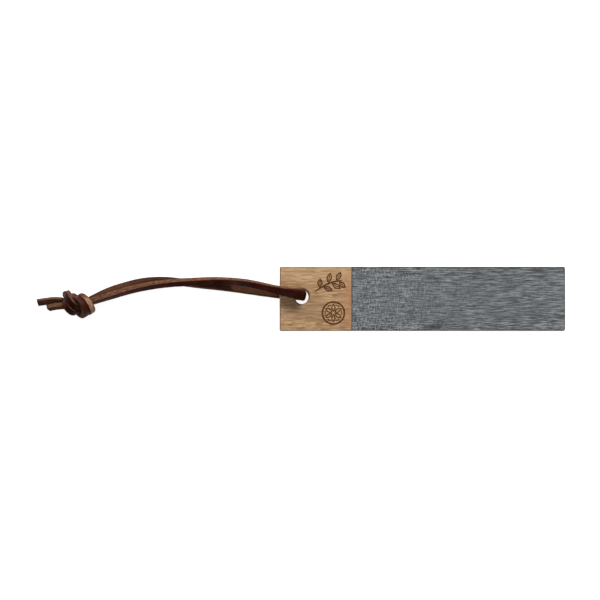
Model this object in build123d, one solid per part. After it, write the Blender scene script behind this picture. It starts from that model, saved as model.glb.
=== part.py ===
from build123d import *
from math import sin, cos, tan, radians, degrees, pi
import os

# Pocket whetstone: a slab of honing stone glued into the rebate of a beech board,
# with a leather wrist lace looped through a hole in the bare wooden end.
# Millimetres, +Z up, +X towards the stone end, standing on z = 0.

# ---------------------------------------------------------------- board and stone
LENGTH = 120.0          # whole board
WIDTH = 27.0
THICK = 10.0
HANDLE = 30.0           # bare wood at the lanyard end
STONE_THICK = 4.0
GLUE = 0.2              # glue bed under the stone
GLUE_END = 0.12         # glue in the butt joint between stone and wood
CORNER_R = 0.8          # upright corners at the stone end
WOOD_ARRIS = 0.3        # broken edges of the wood
STONE_ARRIS = 0.25      # broken edges of the stone
HOLE_D = 6.0
HOLE_X = -50.8          # hole centre from the board's middle
HOLE_Y = 0.8
HOLE_ARRIS = 0.4

# ---------------------------------------------------------------- leather lace
LACE_D = 2.6            # across the lace
TILT = 1.55             # the lace under the lanyard end lifts it by this much, degrees
HOP = 15.1             # height of the lace's middle where it lies over the board's end

half = LENGTH / 2
rebate_z = THICK - STONE_THICK - GLUE


def rounded_plan(x0, x1, z0, z1, r):
    """A block whose two upright corners at the +X end are rounded."""
    block = Pos((x0 + x1) / 2, 0, (z0 + z1) / 2) * Box(x1 - x0, WIDTH, z1 - z0)
    edges = [e for e in block.edges().filter_by(Axis.Z) if e.center().X > x1 - 0.01]
    return fillet(edges, r)


# ---- beech_body: full-length board with the stone's rebate and the lace hole
body = rounded_plan(-half, half, 0, THICK, CORNER_R)
body -= Pos((-half + HANDLE + half) / 2 + 0.5, 0, (rebate_z + THICK) / 2 + 0.5) * Box(
    LENGTH - HANDLE + 1, WIDTH + 2, THICK - rebate_z + 1
)
edges = body.edges()
outer = [
    e
    for e in edges
    if (abs(e.center().Z) < 0.01)
    or (abs(e.center().Z - THICK) < 0.01 and e.center().X < -half + HANDLE - 0.01)
    or (abs(e.center().X + half) < 0.01)
]
body = chamfer(outer, WOOD_ARRIS)
body -= Pos(HOLE_X, HOLE_Y, THICK / 2) * Cylinder(HOLE_D / 2, THICK + 2)
rims = [
    e
    for e in body.edges().filter_by(GeomType.CIRCLE)
    if abs(e.radius - HOLE_D / 2) < 0.01
]
body = chamfer(rims, HOLE_ARRIS)

# ---- adhesive_film: glue bed with its upstand in the butt joint
film = rounded_plan(-half + HANDLE, half, rebate_z, rebate_z + GLUE, CORNER_R)
film += Pos(-half + HANDLE + GLUE_END / 2, 0, (rebate_z + THICK - STONE_ARRIS) / 2) * Box(
    GLUE_END, WIDTH, THICK - STONE_ARRIS - rebate_z
)

# ---- whetstone_slab
slab = rounded_plan(-half + HANDLE + GLUE_END, half, THICK - STONE_THICK, THICK, CORNER_R)
top = [e for e in slab.edges() if abs(e.center().Z - THICK) < 0.01]
slab = chamfer(top, STONE_ARRIS)

# ---- the board is turned about Y so that its lanyard end rises, and moved so that its
# ---- lowest edge, at the stone end, stands on z = 0 with the box centred on X
turned = [Rotation(0, TILT, 0) * shape for shape in (body, film, slab)]
around = Compound(children=turned).bounding_box()
shift = -(around.min.X + around.max.X) / 2
lift = -around.min.Z
beech_body, adhesive_film, whetstone_slab = [Pos(shift, 0, lift) * s for s in turned]


def spot(x, y, z):
    """A point of the flat board, where it is once the board is tilted."""
    c, s = cos(radians(TILT)), sin(radians(TILT))
    return (x * c + z * s + shift, y, -x * s + z * c + lift)


# ---------------------------------------------------------------- lace routes
# One lace: its middle stands in the hole, and each half runs from there to the knot.
hx, hy, _ = spot(HOLE_X, HOLE_Y, THICK / 2)
MEET = 8.0              # height in the hole where the two halves meet

upper = [
    (hx, hy, MEET),
    (hx, hy, HOP),
    (-57.7, 2.6, HOP),
    (-68.9, 5.7, 15.5),
    (-75.9, 6.95, 10.4),
    (-81.6, 7.35, 4.2),
    (-89.0, 7.6, 2.9),
    (-97.0, 7.15, 4.3),
    (-105.5, 6.75, 4.2),
    (-114.0, 5.75, 3.3),
    (-122.4, 4.05, 3.9),
    (-130.0, 1.8, 5.3),
    (-136.3, -0.25, 6.4),
    (-141.2, -1.7, 6.9),
]
lower = [
    (hx, hy, MEET),
    (hx, hy, 1.3),
    (-57.4, 1.15, 1.3),
    (-68.0, 2.55, 1.3),
    (-82.0, 4.7, 1.3),
    (-96.0, 6.15, 1.3),
    (-107.5, 7.9, 1.3),
    (-118.0, 7.35, 1.3),
    (-126.0, 5.2, 1.7),
    (-132.6, 3.05, 2.9),
    (-138.0, 1.45, 3.8),
    (-142.6, 0.2, 4.2),
]
tail_long = [
    (-147.6, -1.7, 4.3),
    (-151.6, -1.4, 3.7),
    (-155.2, -1.05, 2.5),
    (-158.8, -1.2, 1.6),
    (-162.2, -1.6, 1.33),
]
tail_short = [
    (-147.6, -3.2, 6.9),
    (-151.2, -3.25, 6.4),
    (-154.0, -3.35, 5.5),
    (-156.4, -3.6, 4.3),
    (-158.3, -3.9, 3.1),
]


def lace_tube(name, pts):
    """Straight runs joined by tangent arcs, as wide as the runs allow."""
    v = [Vector(*p) for p in pts]
    runs = [(b - a).length for a, b in zip(v, v[1:])]
    radii = []
    for i in range(1, len(v) - 1):
        turn = (v[i] - v[i - 1]).get_angle(v[i + 1] - v[i])
        radii.append(0.45 * min(runs[i - 1], runs[i]) / tan(radians(turn / 2)))
        print(name, i, "run", round(runs[i - 1], 1), round(runs[i], 1),
              "turn", round(turn, 1), "radius", round(radii[-1], 1))
    path = FilletPolyline(*pts, radius=radii)
    section = Plane(origin=path @ 0, z_dir=path % 0) * Circle(LACE_D / 2)
    tube = sweep(section, path=path)
    want = pi * LACE_D**2 / 4 * path.length
    print(name, "length", round(path.length, 2), "volume", round(tube.volume, 2), "section x length", round(want, 2))
    return tube


# ---- lace_knot: outer shape of the doubled overhand knot, seen from above
KNOT_TOP = 12.0
outline = [
    (-151.2, -2.4), (-151.1, 1.9), (-147.9, 3.5), (-143.8, 2.9), (-140.7, 0.6),
    (-137.9, -3.9), (-139.3, -6.7), (-142.9, -8.3), (-147.0, -7.3), (-150.3, -5.2),
]
mid_x = sum(p[0] for p in outline) / len(outline)
mid_y = sum(p[1] for p in outline) / len(outline)


def knot_ring(z, k):
    """The outline drawn in towards its middle by the factor k, at height z."""
    ring = [(mid_x + (x - mid_x) * k, mid_y + (y - mid_y) * k, z) for x, y in outline]
    return make_face(Polyline(*ring, close=True))


knot = loft(
    [
        knot_ring(0, 0.5),
        knot_ring(2.2, 0.84),
        knot_ring(4.4, 1.0),
        knot_ring(KNOT_TOP - 4.4, 1.0),
        knot_ring(KNOT_TOP - 2.0, 0.8),
        knot_ring(KNOT_TOP, 0.42),
    ],
    ruled=True,
)

parts = {
    "beech_body": beech_body,
    "whetstone_slab": whetstone_slab,
    "adhesive_film": adhesive_film,
    "lace_upper_strand": lace_tube("lace_upper_strand", upper),
    "lace_lower_strand": lace_tube("lace_lower_strand", lower),
    "lace_knot": knot,
    "lace_tail_long": lace_tube("lace_tail_long", tail_long),
    "lace_tail_short": lace_tube("lace_tail_short", tail_short),
}

os.makedirs("parts", exist_ok=True)
for name, shape in parts.items():
    solids = shape.solids()
    shape = solids[0] if len(solids) == 1 else Compound(children=list(solids))
    export_step(shape, f"parts/{name}.step")
    box = shape.bounding_box()
    print(name, len(solids), "valid", shape.is_valid,
          [round(v, 3) for v in (*box.min, *box.max)], "volume", round(shape.volume, 1))
print("hole axis", hx, hy, "bottom", spot(HOLE_X, HOLE_Y, 0), "top", spot(HOLE_X, HOLE_Y, THICK))
print("honing face", spot(-half + HANDLE + 45, 0, THICK), "normal", (sin(radians(TILT)), 0, cos(radians(TILT))))
print("underside", spot(15, 0, 0))
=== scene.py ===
import math

import bmesh
import bpy
import numpy as np
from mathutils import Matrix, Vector, noise


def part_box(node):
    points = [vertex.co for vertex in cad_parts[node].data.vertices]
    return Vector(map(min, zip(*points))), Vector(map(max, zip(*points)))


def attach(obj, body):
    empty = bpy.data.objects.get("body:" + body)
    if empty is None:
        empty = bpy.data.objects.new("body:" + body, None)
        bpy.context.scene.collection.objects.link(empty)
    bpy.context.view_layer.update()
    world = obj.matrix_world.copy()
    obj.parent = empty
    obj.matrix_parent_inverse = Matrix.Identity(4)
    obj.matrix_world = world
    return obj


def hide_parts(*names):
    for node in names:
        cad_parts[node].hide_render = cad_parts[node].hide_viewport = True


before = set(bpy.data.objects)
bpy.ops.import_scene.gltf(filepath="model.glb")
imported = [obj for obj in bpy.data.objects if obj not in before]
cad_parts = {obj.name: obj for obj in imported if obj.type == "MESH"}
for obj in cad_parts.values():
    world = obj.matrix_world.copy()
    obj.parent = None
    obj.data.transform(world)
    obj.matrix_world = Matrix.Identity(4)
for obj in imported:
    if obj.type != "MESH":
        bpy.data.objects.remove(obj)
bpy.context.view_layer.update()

MM = 0.001

# ---------------------------------------------------------------- measures
TILT = math.radians(1.55)                     # the board leans on the lace under its left end
HOLE = (-50.7821, 0.8)                        # lace axis in the hole, mm
body_lo, body_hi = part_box("beech_body")
slab_lo, slab_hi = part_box("whetstone_slab")
TOP_X0, TOP_Z0 = -50.65, 12.985               # a point of the board's top plane, mm


def top_z(x):
    return TOP_Z0 - (x - TOP_X0) * math.tan(TILT)


# ---------------------------------------------------------------- camera, light, floor
scene = bpy.context.scene
cam_data = bpy.data.cameras.new("camera")
cam = bpy.data.objects.new("camera", cam_data)
scene.collection.objects.link(cam)
cam_data.sensor_width = 36.0
cam_data.lens = 400.0
cam_data.clip_start = 0.01
cam_data.clip_end = 20.0
cam.location = (-0.0515, -0.0005, 2.8162)
cam.rotation_euler = (0.0, 0.0, 0.0)
scene.camera = cam
scene.view_settings.view_transform = "Standard"


def area_light(name, where, aim, size, watts, tint=(1.0, 1.0, 1.0)):
    data = bpy.data.lights.new(name, "AREA")
    data.shape = "RECTANGLE"
    data.size, data.size_y = size
    data.energy = watts
    data.color = tint
    ob = bpy.data.objects.new(name, data)
    scene.collection.objects.link(ob)
    ob.location = where
    ob.rotation_euler = (Vector(aim) - Vector(where)).to_track_quat("-Z", "Y").to_euler()
    ob.visible_camera = False
    return ob


area_light("key", (0.04, 0.80, 0.43), (-0.05, 0.0, 0.005), (0.40, 0.30), 12.0, (1.0, 0.985, 0.95))
area_light("overhead", (-0.20, -0.15, 0.95), (-0.05, 0.0, 0.0), (0.7, 0.7), 2.2, (0.97, 0.985, 1.0))

world = bpy.data.worlds.new("studio")
scene.world = world
world.use_nodes = True
world.node_tree.nodes["Background"].inputs["Color"].default_value = (0.93, 0.96, 1.0, 1.0)
world.node_tree.nodes["Background"].inputs["Strength"].default_value = 0.16


# ---------------------------------------------------------------- node helpers
class Mat:
    """A small builder for procedural materials on the Principled shader."""

    def __init__(self, name):
        self.mat = bpy.data.materials.new(name)
        self.mat.use_nodes = True
        self.t = self.mat.node_tree
        self.t.nodes.clear()
        self.out = self.t.nodes.new("ShaderNodeOutputMaterial")
        self.b = self.t.nodes.new("ShaderNodeBsdfPrincipled")
        self.t.links.new(self.b.outputs[0], self.out.inputs["Surface"])
        self.x = 0

    def node(self, kind, **props):
        n = self.t.nodes.new(kind)
        self.x += 1
        n.location = (-200 * (self.x % 12), -220 * (self.x // 12))
        for k, v in props.items():
            setattr(n, k, v)
        return n

    def put(self, socket, value):
        if hasattr(value, "is_linked") or hasattr(value, "links"):
            self.t.links.new(value, socket)
        else:
            if isinstance(value, tuple) and len(value) == 3 and socket.type == "RGBA":
                value = (*value, 1.0)
            socket.default_value = value

    def coords(self):
        return self.node("ShaderNodeTexCoord").outputs["Object"]

    def attr(self, name, out="Vector"):
        return self.node("ShaderNodeAttribute", attribute_name=name).outputs[out]

    def scale(self, vec, s, shift=(0.0, 0.0, 0.0)):
        n = self.node("ShaderNodeMapping")
        self.put(n.inputs["Vector"], vec)
        n.inputs["Scale"].default_value = s
        n.inputs["Location"].default_value = shift
        return n.outputs[0]

    def noise(self, vec, detail=3.0, rough=0.5, warp=0.0, scale=1.0):
        n = self.node("ShaderNodeTexNoise")
        self.put(n.inputs["Vector"], vec)
        n.inputs["Scale"].default_value = scale
        n.inputs["Detail"].default_value = detail
        n.inputs["Roughness"].default_value = rough
        n.inputs["Distortion"].default_value = warp
        return n.outputs[0]

    def cells(self, vec, scale=1.0, feature="F1", out="Distance", rand=1.0):
        n = self.node("ShaderNodeTexVoronoi", feature=feature)
        self.put(n.inputs["Vector"], vec)
        n.inputs["Scale"].default_value = scale
        n.inputs["Randomness"].default_value = rand
        return n.outputs[out]

    def math(self, op, a, b=0.0, c=0.0, clamp=False):
        n = self.node("ShaderNodeMath", operation=op, use_clamp=clamp)
        for i, v in enumerate((a, b, c)):
            self.put(n.inputs[i], v)
        return n.outputs[0]

    def step(self, v, lo, hi, to_lo=0.0, to_hi=1.0):
        n = self.node("ShaderNodeMapRange", interpolation_type="SMOOTHSTEP")
        self.put(n.inputs[0], v)
        for i, x in enumerate((lo, hi, to_lo, to_hi)):
            n.inputs[i + 1].default_value = x
        return n.outputs[0]

    def line(self, v, lo, hi, to_lo=0.0, to_hi=1.0):
        n = self.node("ShaderNodeMapRange")
        self.put(n.inputs[0], v)
        for i, x in enumerate((lo, hi, to_lo, to_hi)):
            n.inputs[i + 1].default_value = x
        return n.outputs[0]

    def mix(self, fac, a, b, how="MIX"):
        n = self.node("ShaderNodeMix", data_type="RGBA", blend_type=how)
        self.put(n.inputs[0], fac)
        self.put(n.inputs[6], a)
        self.put(n.inputs[7], b)
        return n.outputs[2]

    def ramp(self, fac, stops):
        n = self.node("ShaderNodeValToRGB")
        self.put(n.inputs[0], fac)
        e = n.color_ramp.elements
        while len(e) < len(stops):
            e.new(0.5)
        for i, (p, c) in enumerate(stops):
            e[i].position = p
            e[i].color = (*c, 1.0)
        return n.outputs[0]

    def split(self, vec):
        n = self.node("ShaderNodeSeparateXYZ")
        self.put(n.inputs[0], vec)
        return n.outputs[0], n.outputs[1], n.outputs[2]

    def join(self, x, y, z):
        n = self.node("ShaderNodeCombineXYZ")
        for i, v in enumerate((x, y, z)):
            self.put(n.inputs[i], v)
        return n.outputs[0]

    def bump(self, height, distance, strength=1.0, normal=None):
        n = self.node("ShaderNodeBump")
        n.inputs["Strength"].default_value = strength
        n.inputs["Distance"].default_value = distance
        self.put(n.inputs["Height"], height)
        if normal is not None:
            self.put(n.inputs["Normal"], normal)
        return n.outputs[0]

    def finish(self, colour=None, rough=None, normal=None, **fixed):
        if colour is not None:
            self.put(self.b.inputs["Base Color"], colour)
        if rough is not None:
            self.put(self.b.inputs["Roughness"], rough)
        if normal is not None:
            self.put(self.b.inputs["Normal"], normal)
        for k, v in fixed.items():
            self.b.inputs[k.replace("_", " ").title().replace("Ior", "IOR")].default_value = v
        return self.mat


# ---------------------------------------------------------------- beech
def beech():
    m = Mat("beech_oiled")
    p = m.coords()
    x, y, z = m.split(p)
    # slow wander of the fibres, so that no line of grain is dead straight
    sway = m.math("SUBTRACT", m.noise(m.scale(p, (22, 40, 40)), 2.0), 0.5)
    y2 = m.math("MULTIPLY_ADD", sway, 0.0042, y)
    z2 = m.math("MULTIPLY_ADD", sway, 0.0026, z)
    q = m.join(x, y2, z2)
    # growth rings: wide, faint, seen flat-sawn
    ry = m.math("SUBTRACT", y2, 0.034)
    rz = m.math("SUBTRACT", z2, -0.021)
    r = m.math("SQRT", m.math("ADD", m.math("MULTIPLY", ry, ry), m.math("MULTIPLY", rz, rz)))
    r = m.math("MULTIPLY_ADD", m.noise(m.scale(p, (14, 90, 90)), 3.0), 0.0022, r)
    ring = m.math("FRACT", m.math("MULTIPLY", r, 520.0))
    late = m.math("MULTIPLY", m.step(ring, 0.55, 0.93), m.step(ring, 1.0, 0.955))
    # tone
    broad = m.noise(m.scale(q, (26, 150, 150)), 3.0, 0.55)
    streak = m.noise(m.scale(q, (55, 1150, 1150)), 4.0, 0.62)
    fibre = m.noise(m.scale(q, (260, 5200, 5200)), 3.0, 0.6)
    mid = m.noise(m.scale(q, (210, 1700, 1700), (0.4, 0.2, 0.6)), 2.5, 0.60)
    col = m.ramp(broad, [(0.34, (0.345, 0.196, 0.094)), (0.46, (0.445, 0.268, 0.134)),
                         (0.56, (0.500, 0.314, 0.162)), (0.66, (0.475, 0.266, 0.130))])
    col = m.mix(m.step(streak, 0.36, 0.56, 0.45, 0.0), col, (0.270, 0.150, 0.073))
    col = m.mix(m.step(streak, 0.50, 0.68, 0.0, 0.42), col, (0.600, 0.410, 0.240))
    col = m.mix(m.step(mid, 0.36, 0.50, 0.72, 0.0), col, (0.240, 0.128, 0.060))
    col = m.mix(m.step(mid, 0.50, 0.63, 0.0, 0.62), col, (0.680, 0.468, 0.268))
    col = m.mix(m.math("MULTIPLY", late, 0.26), col, (0.290, 0.150, 0.078))
    col = m.mix(m.step(fibre, 0.40, 0.70, 0.20, 0.0), col, (0.30, 0.17, 0.095))
    # ray flecks: short dark dashes along the grain
    f1 = m.noise(m.scale(q, (430, 2300, 2300), (0.3, 0.1, 0.7)), 1.5, 0.5)
    fleck = m.step(f1, 0.640, 0.700)
    f2 = m.noise(m.scale(q, (700, 4200, 4200), (0.9, 0.4, 0.2)), 1.0, 0.5)
    small = m.step(f2, 0.665, 0.74)
    col = m.mix(m.math("MULTIPLY", fleck, 0.72), col, (0.175, 0.082, 0.038))
    col = m.mix(m.math("MULTIPLY", small, 0.42), col, (0.215, 0.112, 0.056))
    # the wood is warmer beside the stone, and darker and drabber round and below the hole
    warm = m.math("MULTIPLY", m.step(x, -0.0355, -0.0300), m.step(broad, 0.30, 0.62, 0.35, 0.95))
    col = m.mix(m.math("MULTIPLY", warm, 0.62), col, (0.415, 0.196, 0.105))
    hx = m.math("SUBTRACT", x, HOLE[0] * MM)
    hy = m.math("SUBTRACT", y, (HOLE[1] - 4.6) * MM)
    d = m.math("SQRT", m.math("ADD", m.math("MULTIPLY", hx, hx), m.math("MULTIPLY", m.math("MULTIPLY", hy, hy), 2.6)))
    d = m.math("MULTIPLY_ADD", m.math("SUBTRACT", broad, 0.5), 0.014, d)
    darker_round_hole = m.step(d, 0.0145, 0.0030, 0.0, 0.40)
    col = m.mix(darker_round_hole, col, (0.272, 0.170, 0.098))
    # sapwood side a little paler
    col = m.mix(m.step(y, 0.0035, 0.0105, 0.0, 0.26), col, (0.640, 0.430, 0.255))
    # end grain drinks more oil
    n = m.node("ShaderNodeNewGeometry").outputs["True Normal"]
    nx, ny, nz = m.split(n)
    end = m.step(m.math("ABSOLUTE", nx), 0.55, 0.92)
    pores = m.cells(m.scale(p, (900, 5200, 5200)), 1.0)
    endcol = m.mix(m.step(pores, 0.16, 0.44, 0.62, 0.0), (0.300, 0.172, 0.092), (0.120, 0.060, 0.030))
    endcol = m.mix(m.math("MULTIPLY", late, 0.45), endcol, (0.165, 0.084, 0.042))
    col = m.mix(end, col, endcol)
    # painted shade: a mottled dark line along the top arrises, standing in for the arrises in shade
    k = math.tan(TILT)
    h = m.math("ADD", m.math("MULTIPLY_ADD", x, k, z), -(TOP_Z0 + TOP_X0 * k) * MM)
    near_top = m.step(h, -0.0009, -0.00025)
    ey = m.math("MULTIPLY", m.step(m.math("ABSOLUTE", y), 0.01288, 0.01326), near_top)
    ex = m.math("MULTIPLY", m.step(x, -0.05945, -0.05982), m.math("MULTIPLY", near_top, 0.7))
    arris_shade = m.math("MAXIMUM", ey, ex)
    shade_mottle = m.noise(m.scale(p, (150, 150, 150)), 3.0)
    arris_shade = m.math("MULTIPLY", arris_shade, m.step(shade_mottle, 0.34, 0.60, 0.35, 0.85))
    col = m.mix(arris_shade, col, (0.150, 0.092, 0.055))
    # painted shade inside the bore, darker the deeper it goes, and on the back rim of the hole
    bx = m.math("SUBTRACT", x, HOLE[0] * MM)
    by = m.math("SUBTRACT", y, HOLE[1] * MM)
    bd = m.math("SQRT", m.math("ADD", m.math("MULTIPLY", bx, bx), m.math("MULTIPLY", by, by)))
    bore = m.math("MULTIPLY", m.step(bd, 0.00372, 0.00330), m.step(h, -0.0003, -0.0009, 0.45, 1.0))
    back_rim_shade = m.math("MULTIPLY", m.step(bd, 0.00425, 0.00350), m.step(by, 0.0002, 0.0014))
    back_rim_shade = m.math("MULTIPLY", back_rim_shade, m.step(shade_mottle, 0.30, 0.62, 0.70, 1.0))
    col = m.mix(m.math("MULTIPLY", m.math("MAXIMUM", bore, back_rim_shade), 0.80), col, (0.105, 0.050, 0.022))
    # surface
    rough = m.line(fibre, 0.30, 0.72, 0.62, 0.74)
    rough = m.math("ADD", rough, m.math("MULTIPLY", fleck, -0.08))
    g1 = m.math("MULTIPLY", fibre, 0.55)
    g1 = m.math("MULTIPLY_ADD", streak, 0.45, g1)
    g1 = m.math("SUBTRACT", g1, m.math("MULTIPLY", small, 0.35))
    g1 = m.math("SUBTRACT", g1, m.math("MULTIPLY", fleck, 0.30))
    nrm = m.bump(g1, 0.00009, 0.85)
    m.b.inputs["Specular IOR Level"].default_value = 0.12
    return m.finish(col, rough, nrm)


# ---------------------------------------------------------------- stone
def hone():
    m = Mat("hone_slate")
    p = m.coords()
    x, y, z = m.split(p)
    wob = m.math("SUBTRACT", m.noise(m.scale(p, (60, 160, 160)), 2.0), 0.5)
    q = m.join(x, m.math("MULTIPLY_ADD", wob, 0.0009, y), z)
    grain = m.noise(m.scale(p, (1750, 1750, 1750)), 2.5, 0.60)
    lay = m.noise(m.scale(q, (190, 2850, 2850)), 3.0, 0.62)
    cross = m.noise(m.scale(q, (2000, 520, 900)), 2.0, 0.55)
    fine = m.noise(m.scale(q, (900, 6000, 6000)), 2.0, 0.6)
    cloud = m.noise(m.scale(p, (75, 130, 130)), 3.0, 0.5)
    # the bedding shows as fine streaks towards the far end and as a woven grain by the wood
    along = m.step(m.math("MULTIPLY_ADD", m.math("SUBTRACT", cloud, 0.5), 0.06, x), -0.022, 0.026, 0.28, 0.90)
    weave = m.math("MULTIPLY", m.math("ADD", m.math("ADD", cross, grain), lay), 0.3333)
    weave = m.math("MULTIPLY_ADD", m.math("SUBTRACT", weave, 0.5), 1.75, 0.5)
    vein = m.noise(m.scale(q, (48, 2250, 2250), (0.3, 0.8, 0.1)), 2.0, 0.5)
    seam = m.noise(m.scale(m.join(x, m.math("MULTIPLY_ADD", wob, 0.0016, y), z), (20, 330, 330), (0.6, 0.2, 0.5)), 2.0, 0.45)
    mixf = m.node("ShaderNodeMix", data_type="FLOAT")
    m.put(mixf.inputs[0], along)
    m.put(mixf.inputs[2], weave)
    m.put(mixf.inputs[3], lay)
    tex = mixf.outputs[0]
    tex = m.math("MULTIPLY_ADD", m.math("SUBTRACT", fine, 0.5), 0.22, tex)
    col = m.ramp(tex, [(0.380, (0.040, 0.0433, 0.0475)), (0.448, (0.091, 0.0983, 0.1062)),
                       (0.505, (0.147, 0.159, 0.170)), (0.568, (0.240, 0.257, 0.272)), (0.646, (0.375, 0.395, 0.413))])
    col = m.mix(m.math("MULTIPLY", m.step(vein, 0.385, 0.315), m.math("MULTIPLY", along, 0.80)), col, (0.050, 0.053, 0.057))
    col = m.mix(m.math("MULTIPLY", m.step(vein, 0.640, 0.710), m.math("MULTIPLY", along, 0.70)), col, (0.310, 0.325, 0.338))
    # a few long hairline seams in the bedding
    hair = m.math("ABSOLUTE", m.math("SUBTRACT", seam, 0.5))
    hair = m.math("MULTIPLY", m.step(hair, 0.030, 0.006), m.step(m.math("ADD", x, m.math("MULTIPLY", cloud, 0.05)), 0.006, 0.040, 0.10, 0.70))
    col = m.mix(m.math("MULTIPLY", hair, m.step(lay, 0.60, 0.40, 0.35, 1.0)), col, (0.045, 0.048, 0.052))
    col = m.mix(m.step(cloud, 0.34, 0.66, 0.30, 0.0), col, (0.118, 0.124, 0.128))
    # mica glints and small dark pits
    pit = m.cells(m.scale(p, (760, 1500, 1500)), 1.0)
    pitm = m.math("MULTIPLY", m.step(pit, 0.20, 0.10), m.step(grain, 0.44, 0.60))
    col = m.mix(m.math("MULTIPLY", pitm, 0.55), col, (0.058, 0.061, 0.066))
    glint = m.step(m.noise(m.scale(p, (3300, 5200, 5200)), 1.0), 0.70, 0.78)
    col = m.mix(m.math("MULTIPLY", glint, 0.30), col, (0.42, 0.43, 0.44))
    k = math.tan(TILT)
    h = m.math("ADD", m.math("MULTIPLY_ADD", x, k, z), -(TOP_Z0 + TOP_X0 * k) * MM)
    # a polished, used band down the middle of the face
    use = m.math("MULTIPLY", m.step(m.math("ABSOLUTE", y), 0.0118, 0.0060), m.step(h, -0.0006, -0.0001))
    use = m.math("MULTIPLY", use, m.step(cloud, 0.36, 0.62, 0.5, 1.0))
    col = m.mix(m.math("MULTIPLY", use, 0.16), col, (0.205, 0.214, 0.222))
    # painted shade: a dark line along the top arrises, darkest on the back edge
    near_top = m.step(h, -0.0007, -0.0002)
    back = m.math("MULTIPLY", m.step(y, 0.01272, 0.01305), 0.97)
    front = m.math("MULTIPLY", m.step(y, -0.01290, -0.01325), 0.62)
    right = m.math("MULTIPLY", m.step(x, 0.05935, 0.05975), 0.45)
    left = m.math("MULTIPLY", m.step(x, -0.02930, -0.02970), 0.80)
    arris_shade = m.math("MAXIMUM", m.math("MAXIMUM", back, front), m.math("MAXIMUM", right, left))
    arris_shade = m.math("MULTIPLY", arris_shade, near_top)
    arris_shade = m.math("MULTIPLY", arris_shade, m.step(m.noise(m.scale(p, (260, 260, 260)), 3.0), 0.30, 0.58, 0.55, 1.0))
    col = m.mix(arris_shade, col, (0.036, 0.037, 0.039))
    rough = m.line(tex, 0.30, 0.72, 0.82, 0.70)
    rough = m.math("ADD", rough, m.math("MULTIPLY", use, -0.07))
    rough = m.math("ADD", rough, m.math("MULTIPLY", glint, -0.20))
    hgt = m.math("MULTIPLY_ADD", tex, 0.7, m.math("MULTIPLY", fine, 0.3))
    hgt = m.math("SUBTRACT", hgt, m.math("MULTIPLY", pitm, 0.5))
    nrm = m.bump(hgt, 0.00007, 0.8)
    m.b.inputs["Specular IOR Level"].default_value = 0.12
    return m.finish(col, rough, nrm)


def glue():
    m = Mat("dark_glue_line")
    p = m.coords()
    n1 = m.noise(m.scale(p, (900, 900, 900)), 3.0, 0.6)
    col = m.mix(m.step(n1, 0.35, 0.65), (0.020, 0.017, 0.014), (0.050, 0.042, 0.034))
    return m.finish(col, m.line(n1, 0.3, 0.7, 0.35, 0.6), m.bump(n1, 0.00005, 0.6))


def burnt():
    m = Mat("burnt_line")
    p = m.coords()
    n1 = m.noise(m.scale(p, (700, 1800, 1800)), 3.0, 0.6)
    n2 = m.noise(m.scale(p, (3500, 9000, 9000)), 2.0, 0.6)
    col = m.ramp(n1, [(0.32, (0.050, 0.0165, 0.0050)), (0.50, (0.100, 0.0370, 0.0105)), (0.68, (0.185, 0.078, 0.0260))])
    col = m.mix(m.step(n2, 0.45, 0.70, 0.0, 0.45), col, (0.030, 0.0120, 0.0045))
    m.b.inputs["Specular IOR Level"].default_value = 0.15
    return m.finish(col, m.line(n2, 0.3, 0.7, 0.62, 0.88), m.bump(m.math("ADD", n1, n2), 0.00005, 0.9))


# ---------------------------------------------------------------- leather
HALF = 1.34          # half the side of the square lace, mm
CORNER = 0.34
WORN = (-138.5, -127.0)   # along the lace from the hole, mm; the lower half counts down


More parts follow.
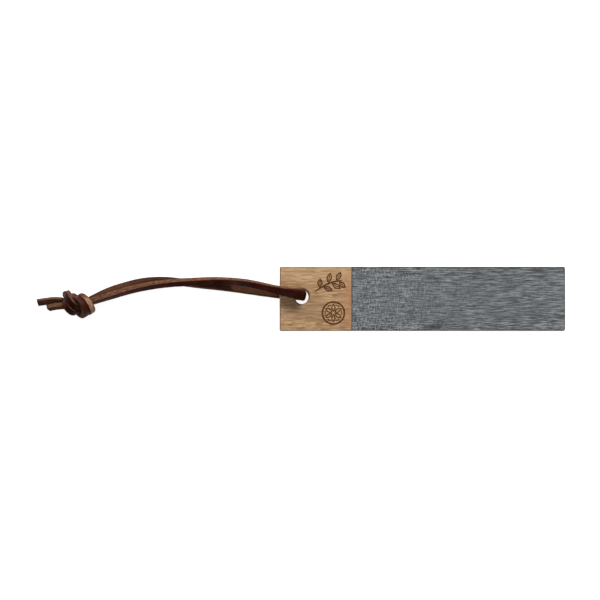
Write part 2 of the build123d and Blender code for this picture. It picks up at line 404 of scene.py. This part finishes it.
def leather():
    m = Mat("leather_lace")
    s = m.attr("section")                      # across, through, along, in metres
    w, t, u = m.split(s)
    ragged = m.noise(m.scale(s, (2200, 2200, 900)), 3.0, 0.6)
    tt = m.math("MULTIPLY_ADD", m.math("SUBTRACT", ragged, 0.5), 0.00034, t)
    h = HALF * MM
    grain = m.step(tt, h * 0.74, h * 0.90)
    flesh = m.step(tt, -h * 0.70, -h * 0.90)
    # smooth dyed grain side
    mott = m.noise(m.scale(s, (420, 420, 160)), 3.0, 0.55)
    crease = m.noise(m.scale(s, (700, 700, 2300)), 3.0, 0.6)
    pebble = m.cells(m.scale(s, (3600, 3600, 2900)), 1.0)
    cg = m.ramp(mott, [(0.30, (0.020, 0.0022, 0.0008)), (0.50, (0.042, 0.0052, 0.0018)), (0.70, (0.090, 0.0160, 0.0060))])
    cg = m.mix(m.step(crease, 0.55, 0.72, 0.0, 0.45), cg, (0.120, 0.032, 0.014))
    cg = m.mix(m.step(pebble, 0.42, 0.70, 0.0, 0.35), cg, (0.014, 0.0040, 0.0025))
    # cut edges: paler fibre, streaked along the lace
    fib = m.noise(m.scale(s, (3600, 3600, 620)), 4.0, 0.68)
    tuft = m.noise(m.scale(s, (2600, 2600, 1900), (0.2, 0.5, 0.1)), 3.0, 0.65)
    ce = m.ramp(fib, [(0.34, (0.034, 0.0125, 0.0062)), (0.49, (0.108, 0.048, 0.0270)), (0.62, (0.215, 0.108, 0.0680))])
    ce = m.mix(m.step(tuft, 0.40, 0.62, 0.55, 0.0), ce, (0.056, 0.022, 0.0110))
    # flesh side: brown nap
    nap = m.noise(m.scale(s, (3000, 3000, 2300), (0.7, 0.1, 0.4)), 4.0, 0.7)
    cf = m.ramp(nap, [(0.33, (0.022, 0.0075, 0.0035)), (0.50, (0.066, 0.0260, 0.0135)), (0.66, (0.135, 0.062, 0.0350))])
    cf = m.mix(m.step(mott, 0.38, 0.62, 0.45, 0.0), cf, (0.036, 0.0125, 0.0060))
    # the turn of the knot that is rubbed most has lost its dye
    worn = m.math("MULTIPLY", m.step(u, WORN[0] * MM, (WORN[0] + 3.5) * MM), m.step(u, WORN[1] * MM, (WORN[1] - 3.5) * MM))
    ce = m.mix(m.math("MULTIPLY", worn, m.step(tuft, 0.34, 0.56, 0.55, 0.92)), ce, m.ramp(fib, [(0.34, (0.130, 0.055, 0.0285)), (0.49, (0.330, 0.168, 0.1000)), (0.62, (0.540, 0.320, 0.210))]))
    cf = m.mix(m.math("MULTIPLY", worn, 0.70), cf, m.ramp(nap, [(0.34, (0.105, 0.043, 0.0220)), (0.50, (0.215, 0.105, 0.0620)), (0.64, (0.360, 0.200, 0.130))]))
    col = m.mix(grain, ce, cg)
    col = m.mix(flesh, col, cf)
    # the arris between dyed grain and cut edge is rubbed
    corner = m.math("MULTIPLY", m.step(m.math("ABSOLUTE", w), h * 0.74, h * 0.93), m.step(tt, -h * 0.66, -h * 0.88))
    col = m.mix(m.math("MULTIPLY", corner, 0.66), col, (0.030, 0.0105, 0.0048))
    arris = m.math("MULTIPLY", m.step(tt, h * 0.60, h * 0.80), m.step(tt, h * 1.02, h * 0.84))
    col = m.mix(m.math("MULTIPLY", arris, 0.35), col, (0.070, 0.028, 0.015))
    # painted shade where the two halves press together, less on the worn turn
    press_shade_mask = m.math("MULTIPLY", m.step(m.attr("press_shade", "Fac"), 0.05, 0.80), m.math("MULTIPLY_ADD", worn, -0.45, 0.70))
    col = m.mix(press_shade_mask, col, (0.0165, 0.0045, 0.0020))
    smooth = m.math("MULTIPLY_ADD", pebble, 0.16, 0.38)
    r = m.node("ShaderNodeMix", data_type="FLOAT")
    m.put(r.inputs[0], grain)
    r.inputs[2].default_value = 0.90
    m.put(r.inputs[3], smooth)
    hg = m.math("MULTIPLY_ADD", pebble, 0.35, m.math("MULTIPLY", crease, 0.65))
    hr = m.math("MULTIPLY_ADD", fib, 0.8, m.math("MULTIPLY", nap, 0.9))
    hm = m.node("ShaderNodeMix", data_type="FLOAT")
    m.put(hm.inputs[0], grain)
    m.put(hm.inputs[2], hr)
    m.put(hm.inputs[3], hg)
    nrm = m.bump(hm.outputs[0], 0.00016, 0.9)
    m.b.inputs["Specular IOR Level"].default_value = 0.06
    return m.finish(col, r.outputs[0], nrm)


MAT_BEECH, MAT_HONE, MAT_GLUE, MAT_BURNT, MAT_LEATHER = beech(), hone(), glue(), burnt(), leather()


def dress(node, mat):
    ob = bpy.data.objects[node] if node in bpy.data.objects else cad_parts[node]
    ob.data.materials.clear()
    ob.data.materials.append(mat)
    return ob


dress("beech_body", MAT_BEECH)
dress("whetstone_slab", MAT_HONE)
dress("adhesive_film", MAT_GLUE)

# ---------------------------------------------------------------- lace
# Control points in millimetres, with the turn of the section in degrees. The first ones are
# the CAD route's own points; the knot's turns and the tails follow on the same spline.
UPPER = [
    (-50.40, 1.20, 8.00, 8), (-49.50, 1.85, 15.10, 8), (-57.70, 2.80, 15.15, -6), (-68.90, 5.75, 15.50, -17),
    (-75.90, 6.95, 10.40, -22), (-81.60, 7.35, 4.20, -27), (-89.00, 7.60, 2.90, -30), (-97.00, 7.15, 4.30, -33),
    (-105.50, 6.75, 4.20, -40), (-114.00, 5.75, 3.30, -47), (-122.40, 4.05, 3.90, -54), (-130.00, 1.80, 5.30, -56),
    (-140.69, -1.44, 6.32, -70), (-142.90, -2.42, 7.13, -67), (-144.91, -3.40, 8.56, -57), (-147.21, -2.28, 10.19, -57),
    (-148.76, 0.27, 9.40, -68), (-149.59, 2.15, 7.24, -91), (-150.14, 1.80, 4.41, -122), (-149.52, -0.16, 2.31, -116),
    (-147.84, -2.23, 1.46, -106), (-145.86, -4.38, 1.98, -92), (-143.95, -6.25, 3.60, -74), (-142.40, -6.76, 5.93, -47),
    (-141.66, -5.43, 8.58, -48), (-142.33, -3.18, 10.42, -42), (-144.70, -0.44, 9.73, -30), (-146.71, -0.40, 7.76, -21),
    (-147.63, -2.68, 6.86, -15), (-149.40, -3.20, 6.30, -6), (-151.60, -2.95, 6.00, 2), (-154.15, -3.14, 5.20, 4),
    (-156.37, -3.52, 4.22, 4), (-157.50, -3.88, 3.36, 4),
]
LOWER = [
    (-50.40, 1.20, 8.00, -8), (-50.65, 1.05, 1.30, -8), (-57.40, 1.15, 1.33, -17), (-68.00, 2.55, 1.40, -14),
    (-82.00, 4.70, 1.56, -7), (-96.00, 6.15, 1.56, -4), (-107.50, 7.90, 1.56, 1), (-118.00, 7.35, 1.56, 7),
    (-126.00, 5.20, 1.85, 11), (-132.60, 3.05, 2.95, 14), (-140.44, -0.93, 3.51, 27), (-142.35, -2.30, 4.14, 36),
    (-143.94, -3.83, 5.19, 49), (-145.48, -5.09, 6.74, 67), (-147.32, -5.51, 8.85, 83), (-149.64, -3.34, 9.26, 88),
    (-149.99, -1.21, 7.24, 84), (-148.50, 0.30, 5.38, 83), (-147.40, 1.10, 3.29, 93), (-145.48, -1.03, 1.88, 107),
    (-143.15, -3.48, 1.72, 118), (-140.66, -5.08, 3.07, 121), (-139.57, -5.00, 5.85, 117), (-139.42, -3.83, 8.41, 116),
    (-140.91, -1.00, 9.38, 121), (-143.34, 0.92, 7.98, 127), (-144.89, 0.03, 5.82, 129), (-146.02, -1.73, 4.68, 131),
    (-147.64, -3.18, 3.94, 129), (-149.40, -2.70, 3.50, 124), (-151.70, -0.95, 3.20, 120), (-155.18, -0.62, 2.41, 119),
    (-158.79, -1.08, 1.61, 119), (-162.30, -1.60, 1.42, 119),
]
START_FACE = np.array([math.cos(math.radians(20)), -math.sin(math.radians(20)), 0.0])


def spline_points(name, route):
    """The route as a smooth NURBS spline, and the points read from it (mm)."""
    cu = bpy.data.curves.new(name, "CURVE")
    cu.dimensions = "3D"
    cu.resolution_u = 16
    sp = cu.splines.new("NURBS")
    sp.points.add(len(route) - 1)
    for pt, c in zip(sp.points, route):
        pt.co = (c[0] * MM, c[1] * MM, c[2] * MM, 1.0)
    sp.order_u = 3
    sp.use_endpoint_u = True
    sp.resolution_u = 16
    ob = bpy.data.objects.new(name, cu)
    scene.collection.objects.link(ob)
    me = bpy.data.meshes.new_from_object(ob)
    pts = np.array([v.co[:] for v in me.vertices]) / MM
    bpy.data.meshes.remove(me)
    bpy.data.objects.remove(ob)
    bpy.data.curves.remove(cu)
    return pts


def moving_frame(c, first):
    """Tangents, and a direction square to them that doesn't spin about the line."""
    t = np.gradient(c, axis=0)
    t /= np.linalg.norm(t, axis=1)[:, None]
    r = first - t[0] * (first @ t[0])
    rs = [r / np.linalg.norm(r)]
    for i in range(len(c) - 1):
        v1 = c[i + 1] - c[i]
        k1 = v1 @ v1
        rl = rs[-1] - 2 / k1 * (v1 @ rs[-1]) * v1
        tl = t[i] - 2 / k1 * (v1 @ t[i]) * v1
        v2 = t[i + 1] - tl
        k2 = v2 @ v2
        x = rl - 2 / k2 * (v2 @ rl) * v2 if k2 > 1e-18 else rl
        x = x - t[i + 1] * (x @ t[i + 1])
        rs.append(x / np.linalg.norm(x))
    return t, np.array(rs)


def square_section():
    """One ring of the lace's section: a square with rounded corners (mm)."""
    ring = []
    for q in range(4):
        a0 = q * math.pi / 2
        cx = (HALF - CORNER) * (1 if q in (0, 3) else -1)
        cy = (HALF - CORNER) * (1 if q in (0, 1) else -1)
        for k in range(4):
            a = a0 + k * math.pi / 6
            ring.append((cx + CORNER * math.cos(a), cy + CORNER * math.sin(a)))
        nx = (HALF - CORNER) * (1 if (q + 1) % 4 in (0, 3) else -1)
        ny = (HALF - CORNER) * (1 if (q + 1) % 4 in (0, 1) else -1)
        a1 = a0 + math.pi / 2
        s = (cx + CORNER * math.cos(a1), cy + CORNER * math.sin(a1))
        e = (nx + CORNER * math.cos(a1), ny + CORNER * math.sin(a1))
        for k in (1, 2, 3):
            ring.append((s[0] + (e[0] - s[0]) * k / 4, s[1] + (e[1] - s[1]) * k / 4))
    return np.array(ring)


RING = square_section()


def lace_rings(route, end_cut, spread, side):
    c = spline_points("lace_line", route)
    n = len(route)
    t, r = moving_frame(c, START_FACE)
    par = np.linspace(0, n - 2, len(c))
    at = np.array([0.0] + [k - 0.5 for k in range(1, n - 1)] + [n - 2.0])
    turn = np.interp(par, at, [p[3] for p in route])
    ker = np.ones(17) / 17
    pad = np.concatenate([np.full(8, turn[0]), turn, np.full(8, turn[-1])])
    turn = np.radians(np.convolve(pad, ker, mode="valid"))
    s = np.cross(t, r)
    g = np.cos(turn)[:, None] * r + np.sin(turn)[:, None] * s      # the grain side faces along g
    e = np.cross(t, g)
    along = np.concatenate([[0], np.cumsum(np.linalg.norm(np.diff(c, axis=0), axis=1))])
    rings = np.zeros((len(c), len(RING), 3))
    sec = np.zeros((len(c), len(RING), 3))
    for i in range(len(c)):
        w, th = RING[:, 0].copy(), RING[:, 1].copy()
        # cut by hand: the sides wander a little
        dw = 0.05 * noise.noise(Vector((along[i] * 0.33, 3.1, end_cut)))
        dt = 0.04 * noise.noise(Vector((along[i] * 0.41, 7.7, end_cut)))
        # it spreads where it is bent over the rim of the hole
        near = 1.0 - min(1.0, max(0.0, (along[i] - spread) / (14.0 if side > 0 else 9.0)))
        hub = 1.0 - min(1.0, max(0.0, (along[i] - 7.0) / 6.0)) if spread > 5 else max(0.0, 1.0 - along[i] / 6.0)
        hub = hub * hub * (3 - 2 * hub)
        rim = math.exp(-((along[i] - 9.5) / 3.0) ** 2) if side > 0 else 0.0
        wide = 1.0 + 0.30 * near * near * (3 - 2 * near) + 0.20 * hub + 0.17 * rim
        # the free ends are pulled a little thinner
        slim = min(1.0, max(0.0, (along[i] - along[-1] + 13.0) / 6.0))
        thin = 1.0 - (0.14 if side > 0 else 0.07) * slim * slim * (3 - 2 * slim)
        # and flattened a little where the knot's turns bear on each other
        bear = min(1.0, max(0.0, (along[i] - 97.0) / 5.0)) * (1.0 - slim)
        w2, t2 = w * (wide * thin + 0.07 * bear + dw / HALF), th * (thin + dt / HALF)
        # the bend over the rim rounds the section off
        rad = np.hypot(w2 / wide, t2)
        soft = 0.55 * hub * (1.0 - np.clip(HALF * 1.04 / rad, None, 1.0))
        w2, t2 = w2 * (1.0 - soft), t2 * (1.0 - soft)
        rings[i] = c[i] + w2[:, None] * e[i] + t2[:, None] * g[i]
        sec[i, :, 0], sec[i, :, 1], sec[i, :, 2] = w, th, along[i] * side
    return c, t, along, rings, sec


def press(rings, centre, along, others):
    """Where two turns press together, each gives way to the plane halfway between them."""
    gap = 0.035
    for c2, a2, same in others:
        for i in range(len(centre)):
            d = c2 - centre[i]
            dist = np.linalg.norm(d, axis=1)
            if same:
                ok = (dist < 4.0) & (np.abs(a2 - along[i]) > 5.2)
            else:
                ok = (dist < 4.0) & (a2 + along[i] > 12.0)
            idx = np.nonzero(ok)[0]
            if len(idx) == 0:
                continue
            for _ in range(2):
                for j in idx[:: max(1, len(idx) // 24)]:
                    nrm = d[j] / dist[j]
                    over = (rings[i] - (centre[i] + c2[j]) / 2) @ nrm + gap
                    rings[i] -= np.clip(over, 0, None)[:, None] * nrm


def ease(rings, moved):
    """Softens the pressed places along the lace."""
    for _ in range(3):
        mid = rings.copy()
        mid[1:-1] = 0.25 * rings[:-2] + 0.5 * rings[1:-1] + 0.25 * rings[2:]
        rings[moved] = mid[moved]


def tube(name, rings, sec, t, lean, press_shade):
    me = bpy.data.meshes.new(name)
    n, k, _ = rings.shape
    last = rings[-1]
    c = last.mean(axis=0)
    # the end is cut across at a slant
    rings[-1] = last + t[-1] * ((last - c) @ np.array([0.0, 1.0, 0.0]))[:, None] * lean
    verts = rings.reshape(-1, 3)
    secs = sec.reshape(-1, 3)
    faces = []
    for i in range(n - 1):
        for j in range(k):
            a, b = i * k + j, i * k + (j + 1) % k
            faces.append((a, b, b + k, a + k))
    caps = []
    extra, extra_s = [], []
    base = n * k
    for which, ring_at in ((0, 0), (1, n - 1)):
        ring = rings[ring_at]
        cc = ring.mean(axis=0)
        prev = [ring_at * k + j for j in range(k)]
        for level, f in enumerate((0.82, 0.42)):
            cur = []
            for j in range(k):
                v = cc + (ring[j] - cc) * f
                if which:
                    v = v + t[ring_at] * 0.05 * noise.noise(Vector((j * 1.7, level * 3.3, 1.0 + lean)))
                cur.append(base + len(extra))
                extra.append(v)
                extra_s.append(np.array([sec[ring_at, j, 0] * f, sec[ring_at, j, 1] * f, sec[ring_at, j, 2]]))
            for j in range(k):
                q = (prev[j], prev[(j + 1) % k], cur[(j + 1) % k], cur[j])
                faces.append(q if which else q[::-1])
            prev = cur
        centre = base + len(extra)
        extra.append(cc)
        extra_s.append(np.array([0.0, 0.0, sec[ring_at, 0, 2]]))
        for j in range(k):
            q = (prev[j], prev[(j + 1) % k], centre)
            faces.append(q if which else q[::-1])
    verts = np.vstack([verts, np.array(extra)]) * MM
    secs = np.vstack([secs, np.array(extra_s)]) * MM
    me.from_pydata([tuple(v) for v in verts], [], faces)
    a = me.attributes.new("section", "FLOAT_VECTOR", "POINT")
    a.data.foreach_set("vector", secs.astype(np.float32).ravel())
    g = me.attributes.new("press_shade", "FLOAT", "POINT")
    g.data.foreach_set("value", np.concatenate([press_shade.ravel(), np.zeros(len(extra))]).astype(np.float32))
    bm = bmesh.new()
    bm.from_mesh(me)
    bmesh.ops.recalc_face_normals(bm, faces=bm.faces)
    bm.to_mesh(me)
    bm.free()
    for p in me.polygons:
        p.use_smooth = True
    me.materials.append(MAT_LEATHER)
    ob = bpy.data.objects.new(name, me)
    scene.collection.objects.link(ob)
    return ob


cu_, tu_, au_, ru_, su_ = lace_rings(UPPER, 1.0, 12.0, 1.0)
cl_, tl_, al_, rl_, sl_ = lace_rings(LOWER, 2.0, 2.0, -1.0)
keep_u, keep_l = ru_.copy(), rl_.copy()


# the mask of the painted shade where the turns press together
def press_shade_of(rings, was):
    """Nought to one: how hard each point was pressed, spread a little round the section."""
    g = np.clip(np.linalg.norm(rings - was, axis=2) / 0.14, 0.0, 1.0)
    near = [g]
    for k, f in ((1, 0.85), (2, 0.55), (3, 0.25)):
        near += [f * np.roll(g, k, axis=1), f * np.roll(g, -k, axis=1)]
    return np.max(near, axis=0)


press(ru_, cu_, au_, [(cu_, au_, True), (cl_, al_, False)])
press(rl_, cl_, al_, [(cl_, al_, True), (cu_, au_, False)])
ease(ru_, np.abs(ru_ - keep_u).max(axis=(1, 2)) > 1e-4)
ease(rl_, np.abs(rl_ - keep_l).max(axis=(1, 2)) > 1e-4)
press_shade_u, press_shade_l = press_shade_of(ru_, keep_u), press_shade_of(rl_, keep_l)


def bore_fit(rings):
    """Inside the bore and over its rims the lace gives way to the wood, at any angle of swing."""
    dx, dy, z = rings[..., 0] - HOLE[0], rings[..., 1] - HOLE[1], rings[..., 2]
    r = np.hypot(dx, dy)
    limit = np.interp(z, [2.70, 3.00, 3.50, 12.66, 13.00, 13.30], [3.80, 3.02, 2.76, 2.76, 3.02, 3.80])
    inside = (r < 4.3) & (z > 2.70) & (z < 13.30) & (r > limit)
    f = np.where(inside, limit / np.maximum(r, 1e-6), 1.0)
    rings[..., 0] = HOLE[0] + dx * f
    rings[..., 1] = HOLE[1] + dy * f


bore_fit(ru_)
bore_fit(rl_)
# where it lies on the floor, the lace sits flat
for rr in (ru_, rl_):
    rr[:, :, 2] = np.maximum(rr[:, :, 2], 0.02)

lace_upper = tube("lace_upper", ru_, su_, tu_, 0.45, press_shade_u)
lace_lower = tube("lace_lower", rl_, sl_, tl_, 0.16, press_shade_l)
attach(lace_upper, "lanyard")
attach(lace_lower, "lanyard")
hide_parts("lace_upper_strand", "lace_tail_short", "lace_knot")
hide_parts("lace_lower_strand", "lace_tail_long")


# ---------------------------------------------------------------- burnt marks
PROUD, SUNK = 0.035, 0.06


def on_top(x, y, h):
    return (x * MM, y * MM, (top_z(x) + h / math.cos(TILT)) * MM)


def band(bm, outer, inner, closed):
    """A thin solid line on the board's top between two rows of points."""
    n = len(outer)

    def row(pts, h):
        return [bm.verts.new(on_top(x, y, h)) for x, y in pts]

    ot, it, ob_, ib = row(outer, PROUD), row(inner, PROUD), row(outer, -SUNK), row(inner, -SUNK)
    for i in range(n if closed else n - 1):
        j = (i + 1) % n
        bm.faces.new((ot[i], ot[j], it[j], it[i]))
        bm.faces.new((ob_[j], ob_[i], ib[i], ib[j]))
        bm.faces.new((ob_[i], ob_[j], ot[j], ot[i]))
        bm.faces.new((ib[j], ib[i], it[i], it[j]))
    if not closed:
        bm.faces.new((ot[0], it[0], ib[0], ob_[0]))
        bm.faces.new((it[-1], ot[-1], ob_[-1], ib[-1]))


def stroke(bm, pts, width, taper=0.35):
    """An open burnt line along pts, narrower at its ends."""
    pts = [np.array(p, float) for p in pts]
    n = len(pts)
    left, right = [], []
    for i in range(n):
        d = pts[min(i + 1, n - 1)] - pts[max(i - 1, 0)]
        d /= np.linalg.norm(d)
        nn = np.array([-d[1], d[0]])
        f = min(1.0, taper + (1 - taper) * min(i, n - 1 - i) / max(1, n * 0.18))
        wob = 0.022 * noise.noise(Vector((pts[i][0] * 2.1, pts[i][1] * 2.1, 5.0)))
        left.append(pts[i] + nn * (width / 2 * f + wob))
        right.append(pts[i] - nn * (width / 2 * f - wob))
    band(bm, left, right, False)


def lens(cx, cy, angle, length, half, k=18):
    """Outline of a leaf or petal: two bows that meet in a point at each end."""
    ca, sa = math.cos(angle), math.sin(angle)
    out = []
    for i in range(2 * k):
        f = i / k
        if f <= 1:
            a, b = -length / 2 + length * f, half * math.sin(math.pi * f) ** 0.86
        else:
            a, b = length / 2 - length * (f - 1), -half * math.sin(math.pi * (f - 1)) ** 0.86
        out.append(np.array([cx + a * ca - b * sa, cy + a * sa + b * ca]))
    return out


def leaf(bm, cx, cy, angle, length, half, width, vein=True):
    band(bm, lens(cx, cy, angle, length + width * 1.5, half + width / 2),
         lens(cx, cy, angle, length - width * 1.5, half - width / 2), True)
    if vein:
        ca, sa = math.cos(angle), math.sin(angle)
        l0 = length * 0.30
        stroke(bm, [(cx + (-l0 + 2 * l0 * i / 8) * ca, cy + (-l0 + 2 * l0 * i / 8) * sa) for i in range(9)], width * 0.72)


def mark(name, build):
    bm = bmesh.new()
    build(bm)
    bmesh.ops.recalc_face_normals(bm, faces=bm.faces)
    me = bpy.data.meshes.new(name)
    bm.to_mesh(me)
    bm.free()
    me.materials.append(MAT_BURNT)
    ob = bpy.data.objects.new(name, me)
    scene.collection.objects.link(ob)
    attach(ob, "block")
    return ob


def sprig(bm):
    w = 0.66
    stem = [(-45.3 + 12.4 * f, 3.0 + 4.2 * f + 1.5 * math.sin(math.pi * f * 0.9)) for f in [i / 30 for i in range(29)]]
    stroke(bm, stem, w, 0.5)
    for f, side, ln in ((0.16, 1, 3.1), (0.27, -1, 3.3), (0.44, 1, 3.7), (0.55, -1, 3.7), (0.72, 1, 3.3), (0.80, -1, 3.1)):
        x0 = -45.3 + 12.4 * f
        y0 = 3.0 + 4.2 * f + 1.5 * math.sin(math.pi * f * 0.9)
        slope = math.atan2(4.2 + 1.5 * 0.9 * math.pi * math.cos(math.pi * f * 0.9), 12.4)
        a = slope + side * math.radians(52)
        off = ln / 2 + w * 1.15
        leaf(bm, x0 + off * math.cos(a), y0 + off * math.sin(a), a, ln, 0.84, w * 0.84)


def rosette(bm):
    cx, cy, w = -37.45, -5.95, 0.60
    k = 96
    for rad, ww in ((4.62, 0.74),):
        outer = [(cx + (rad + ww / 2) * math.cos(2 * math.pi * i / k), cy + (rad + ww / 2) * math.sin(2 * math.pi * i / k)) for i in range(k)]
        inner = [(cx + (rad - ww / 2) * math.cos(2 * math.pi * i / k), cy + (rad - ww / 2) * math.sin(2 * math.pi * i / k)) for i in range(k)]
        band(bm, outer, inner, True)
    for q in range(6):
        a = math.radians(60 * q + 30)
        leaf(bm, cx + 2.22 * math.cos(a), cy + 2.22 * math.sin(a), a, 2.85, 0.66, w * 0.86, vein=False)
        b = math.radians(60 * q)
        stroke(bm, [(cx + 3.50 * math.cos(b + 0.30 * (i - 4) / 4) , cy + 3.50 * math.sin(b + 0.30 * (i - 4) / 4)) for i in range(9)], w * 0.8)


mark("burnt_sprig", sprig)
mark("burnt_rosette", rosette)


# ---------------------------------------------------------------- floor
def floor():
    me = bpy.data.meshes.new("floor")
    s = 3.0
    me.from_pydata([(-s, -s, 0), (s, -s, 0), (s, s, 0), (-s, s, 0)], [], [(0, 1, 2, 3)])
    m = Mat("floor_white")
    m.b.inputs["Emission Color"].default_value = (1.0, 1.0, 1.0, 1.0)
    m.b.inputs["Emission Strength"].default_value = 0.84
    p = m.coords()
    n1 = m.noise(m.scale(p, (40, 40, 40)), 2.0)
    col = m.mix(n1, (0.52, 0.52, 0.52), (0.54, 0.54, 0.54))
    me.materials.append(m.finish(col, 0.9))
    ob = bpy.data.objects.new("floor", me)
    scene.collection.objects.link(ob)
    ob.location = (0.0, 0.0, -0.0002)


floor()
